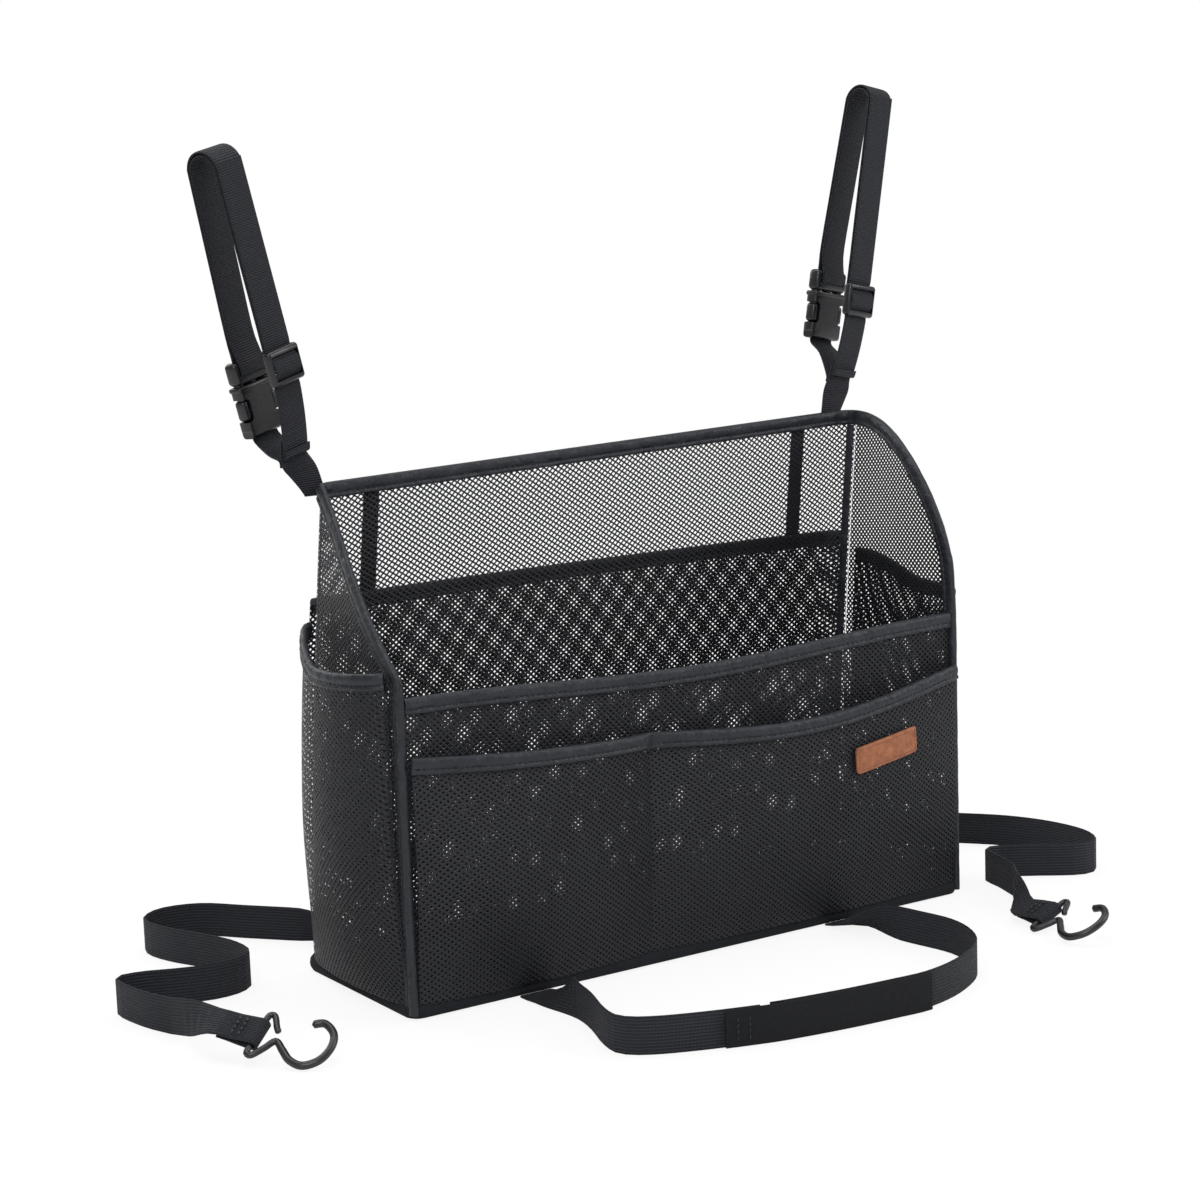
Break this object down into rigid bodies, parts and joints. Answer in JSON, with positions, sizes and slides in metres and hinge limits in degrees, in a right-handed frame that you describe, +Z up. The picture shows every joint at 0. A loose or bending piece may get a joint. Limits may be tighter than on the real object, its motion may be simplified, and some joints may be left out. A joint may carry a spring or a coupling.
{
  "type": "car seat net pocket",
  "caption": "Open-topped net pocket bag for a car seat, with outer pockets, buckled hanging loops and elastic straps ending in wire hooks.",
  "frame": {"origin": "centre of the base's underside", "axes": "+Z up, +X along the bag's width to its right as seen from the front pockets, -Y towards the front pockets"},
  "size_m": [0.6044, 0.3815, 0.4843],
  "materials": {
    "base_board": "matt",
    "coated_binding": "grained satin",
    "coated_wire": "satin",
    "elastic": "ribbed matt",
    "hook_and_loop_tape": "napped matt",
    "moulded_plastic": "satin",
    "polyester_net": "open diamond mesh",
    "tan_leather": "smooth matt",
    "webbing": "woven matt"
  },
  "bodies": {
    "bag": {"back_net_wall": "polyester_net", "base_board": "base_board", "foot_binding": "coated_binding", "front_hook_tape": "hook_and_loop_tape", "front_left_elastic": "elastic", "front_loop_tape": "hook_and_loop_tape", "front_pocket_binding": "coated_binding", "front_pocket_net": "polyester_net", "front_right_elastic": "elastic", "front_wall_binding": "coated_binding", "front_wall_net": "polyester_net", "label_patch": "tan_leather", "left_anchor_webbing": "webbing", "left_back_tape": "webbing", "left_buckle_body": "moulded_plastic", "left_buckle_latch": "moulded_plastic", "left_edge_binding": "coated_binding", "left_elastic": "elastic", "left_hanger_webbing": "webbing", "left_side_net": "polyester_net", "left_side_pocket_binding": "coated_binding", "left_side_pocket_net": "polyester_net", "left_slider": "moulded_plastic", "left_tail_webbing": "webbing", "rear_pocket_binding": "coated_binding", "rear_pocket_net": "polyester_net", "right_anchor_webbing": "webbing", "right_back_tape": "webbing", "right_buckle_body": "moulded_plastic", "right_buckle_latch": "moulded_plastic", "right_edge_binding": "coated_binding", "right_elastic": "elastic", "right_hanger_webbing": "webbing", "right_side_net": "polyester_net", "right_side_pocket_binding": "coated_binding", "right_side_pocket_net": "polyester_net", "right_slider": "moulded_plastic", "right_tail_webbing": "webbing", "top_binding": "coated_binding"},
    "left_hook": {"left_hook": "coated_wire"},
    "right_hook": {"right_hook": "coated_wire"}
  },
  "joints": [
    {"name": "left_hook_swing", "type": "hinge", "parent": "bag", "child": "left_hook", "pos_m": [-0.278, -0.0618, 0.0132], "axis": [-0.7566, -0.413, -0.507], "range_deg": [0, 100]},
    {"name": "right_hook_swing", "type": "hinge", "parent": "bag", "child": "right_hook", "pos_m": [0.1784, -0.1495, 0.00833], "axis": [-0.8971, 0.0666, -0.4368], "range_deg": [0, 100]}
  ]
}
